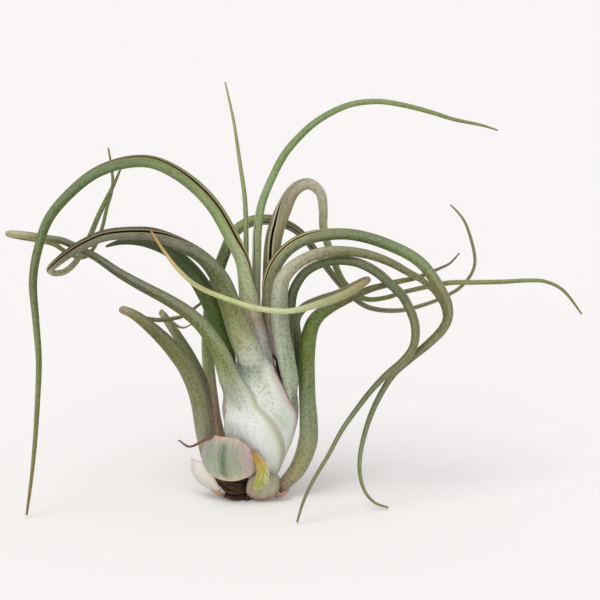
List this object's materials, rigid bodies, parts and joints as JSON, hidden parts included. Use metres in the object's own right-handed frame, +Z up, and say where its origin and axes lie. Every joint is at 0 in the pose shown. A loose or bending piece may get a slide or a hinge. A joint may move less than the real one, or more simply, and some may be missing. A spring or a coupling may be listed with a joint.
{
  "type": "air plant",
  "caption": "Bulbous air plant standing free: overlapping silvery leaf bases form a bulb, and long rolled leaves arch and curl to both sides.",
  "frame": {"origin": "centre of the flat foot of the stem, on the surface the plant stands on", "axes": "+Z up, +X towards the side where the longest leaf reaches, -Y the front"},
  "size_m": [0.208, 0.063, 0.1511],
  "materials": {
    "fresh_leaf": "satin living leaf, fine silvery scales",
    "olive_leaf": "satin living leaf, speckled",
    "silver_leaf": "matt silvery leaf",
    "dark_leaf": "satin dark green leaf",
    "pale_leaf": "pale yellow-green leaf",
    "old_sheath": "dry pale old leaf base",
    "yellow_bract": "dry yellow-green bract",
    "dry_scale": "brown papery scale",
    "stem_wood": "dark fibrous stem"
  },
  "bodies": {
    "root": {"leaf_left_arch": "fresh_leaf", "leaf_spike": "fresh_leaf", "leaf_right_thin_arch": "fresh_leaf", "leaf_hook": "olive_leaf", "leaf_right_outer_arch": "silver_leaf", "leaf_right_middle_arch": "silver_leaf", "leaf_right_inner_arch": "dark_leaf", "leaf_right_column": "olive_leaf", "leaf_hairpin": "pale_leaf", "leaf_left_mid": "olive_leaf", "leaf_left_wavy": "olive_leaf", "leaf_left_low": "dark_leaf", "leaf_left_small": "dark_leaf", "leaf_left_grooved": "dark_leaf", "leaf_back_sweep": "fresh_leaf", "old_sheath_cup": "old_sheath", "yellow_bract": "yellow_bract", "base_bract": "old_sheath", "back_bract": "old_sheath", "dry_scale_left": "dry_scale", "dry_scale_right": "dry_scale", "dried_thread": "dry_scale", "root_upper": "stem_wood", "root_lower": "stem_wood", "stem_stub": "stem_wood"}
  },
  "joints": []
}
